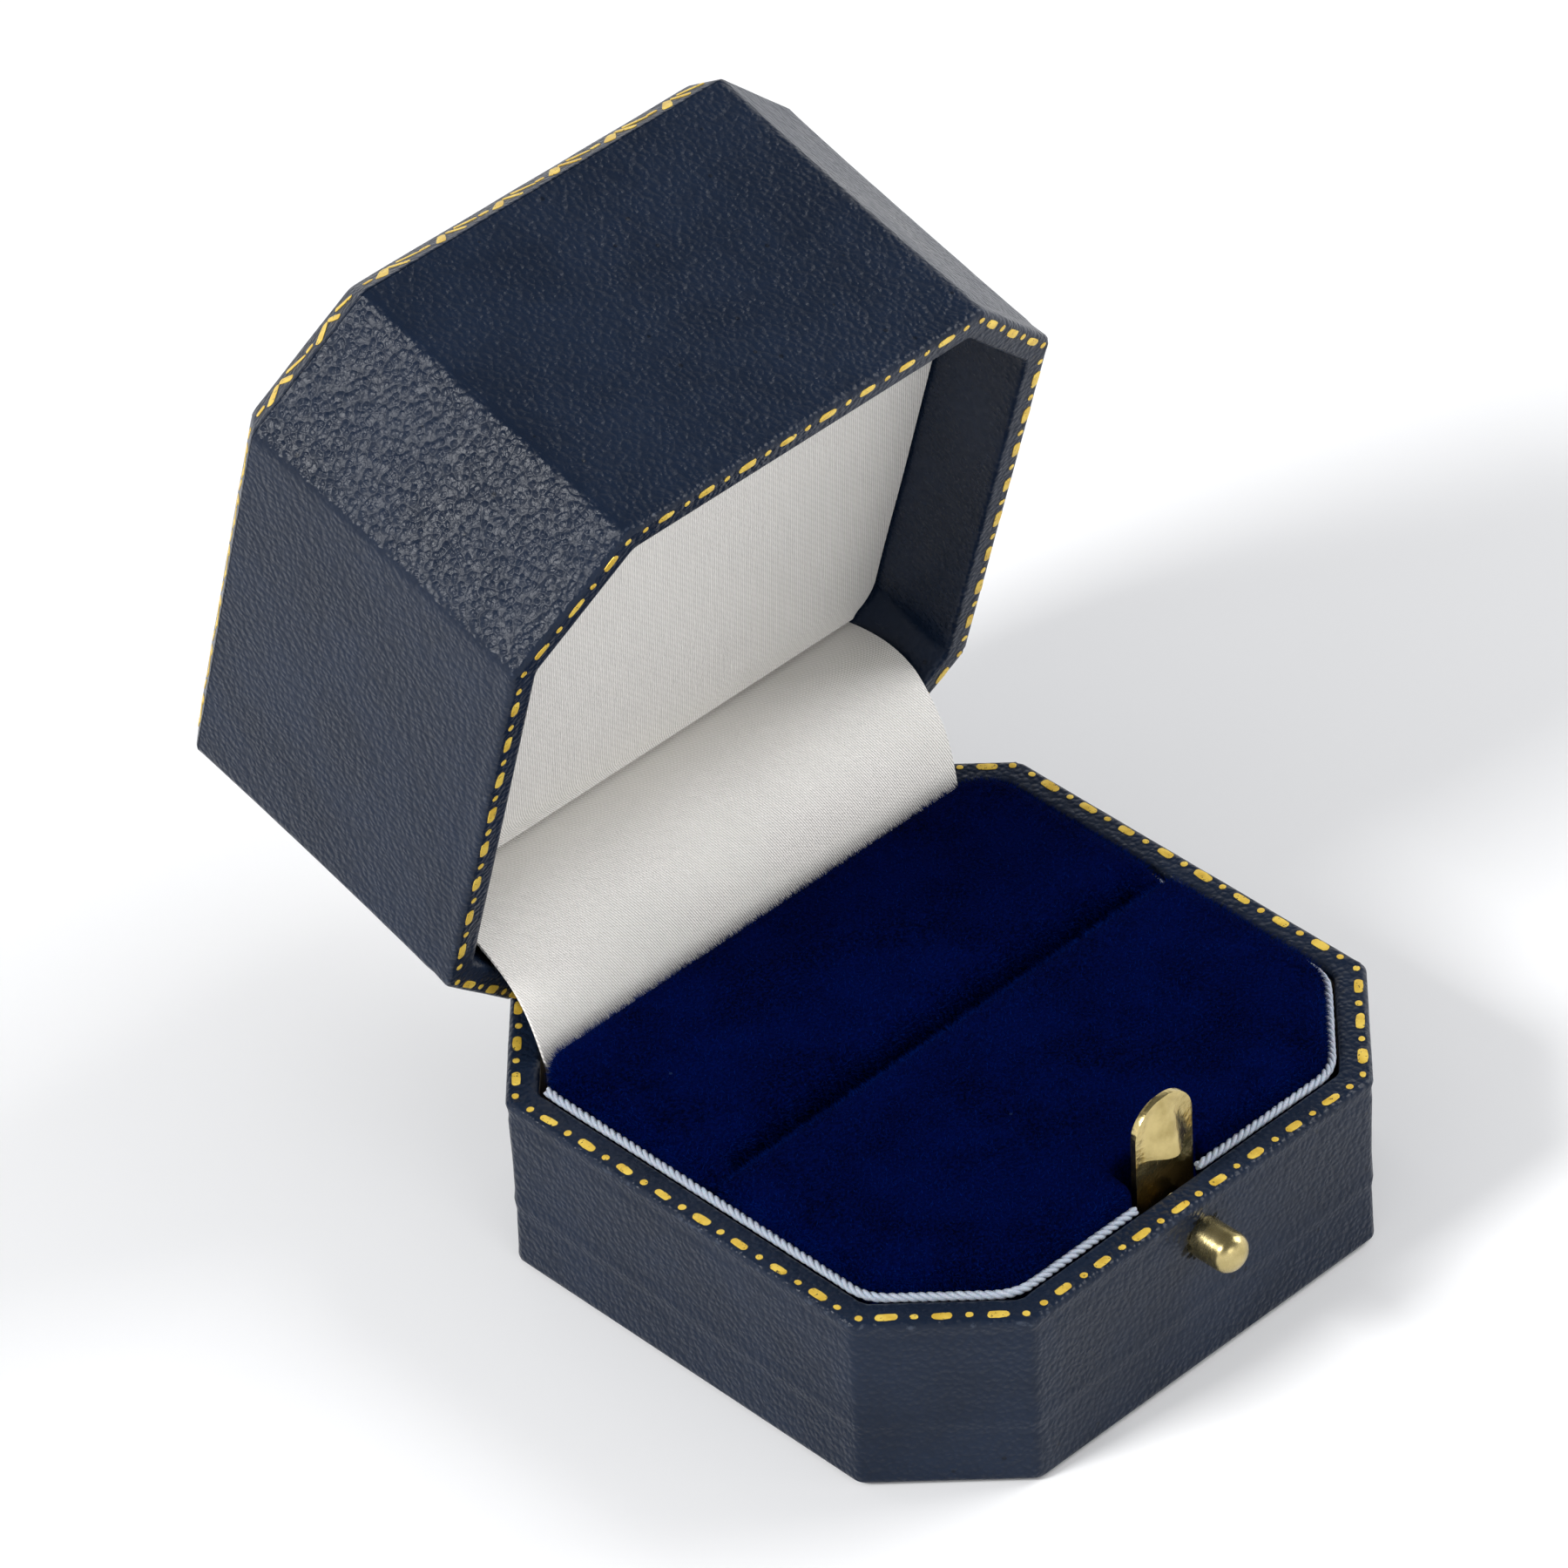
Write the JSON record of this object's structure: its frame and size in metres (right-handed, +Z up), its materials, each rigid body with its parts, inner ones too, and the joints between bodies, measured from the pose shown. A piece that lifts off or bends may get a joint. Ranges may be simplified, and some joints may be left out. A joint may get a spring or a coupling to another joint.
{
  "type": "ring box",
  "caption": "Small eight-sided leatherette ring box with a tall hinged lid, velvet cushions with a ring slot, satin lining and flap, and a brass push-button latch.",
  "frame": {"origin": "middle of the flat underside of the base", "axes": "+Z up, -Y towards the button on the front, +Y towards the hinge, +X to the right seen from the front"},
  "size_m": [0.046, 0.0724, 0.0638],
  "materials": {
    "leatherette": "fine-grained navy leatherette, soft sheen",
    "board": "dense grey-brown box board",
    "underside": "dark matt base paper",
    "velvet": "dense navy velvet pile over foam",
    "satin": "off-white satin, silky",
    "cord": "white twisted cord",
    "foam": "open-cell foam block",
    "brass": "polished brass"
  },
  "bodies": {
    "base": {"base_shell": "board", "base_covering": "leatherette", "base_underside": "underside", "front_cushion": "velvet", "rear_cushion": "velvet", "slot_lining": "velvet", "edge_cord_left": "cord", "edge_cord_right": "cord", "hinge_leaf_base": "brass", "hinge_pin": "brass", "hinge_nail_base_left": "brass", "hinge_nail_base_right": "brass", "button_bush": "brass", "latch_bracket": "brass", "latch_rivet_left": "brass", "latch_rivet_right": "brass"},
    "lid": {"lid_shell": "board", "lid_side_covering": "leatherette", "lid_top_covering": "leatherette", "catch_plate": "brass", "lining_satin": "satin", "lining_card": "board", "lining_foam": "foam", "hinge_leaf_lid": "brass", "hinge_nail_lid_left": "brass", "hinge_nail_lid_right": "brass", "satin_flap": "satin"},
    "button": {"push_button": "brass"},
    "tongue": {"latch_tongue": "brass"}
  },
  "joints": [
    {"name": "lid_hinge", "type": "hinge", "parent": "base", "child": "lid", "pos_m": [0, 0.0219, 0.0139], "axis": [-1, 0, 0], "range_deg": [-73.2, 0], "deforming": ["satin_flap"]},
    {"name": "button_press", "type": "slide", "parent": "base", "child": "button", "axis": [0, 1, 0], "range_m": [0, 0.0008], "stiffness_N_per_m": 300},
    {"name": "tongue_flex", "type": "hinge", "parent": "base", "child": "tongue", "pos_m": [-0.0003, -0.01955, 0.004], "axis": [-1, 0, 0], "range_deg": [0, 7.1]}
  ],
  "couplings": [
    {"joint": "tongue_flex", "follows": "button_press", "rad_per_m": 152.67}
  ]
}
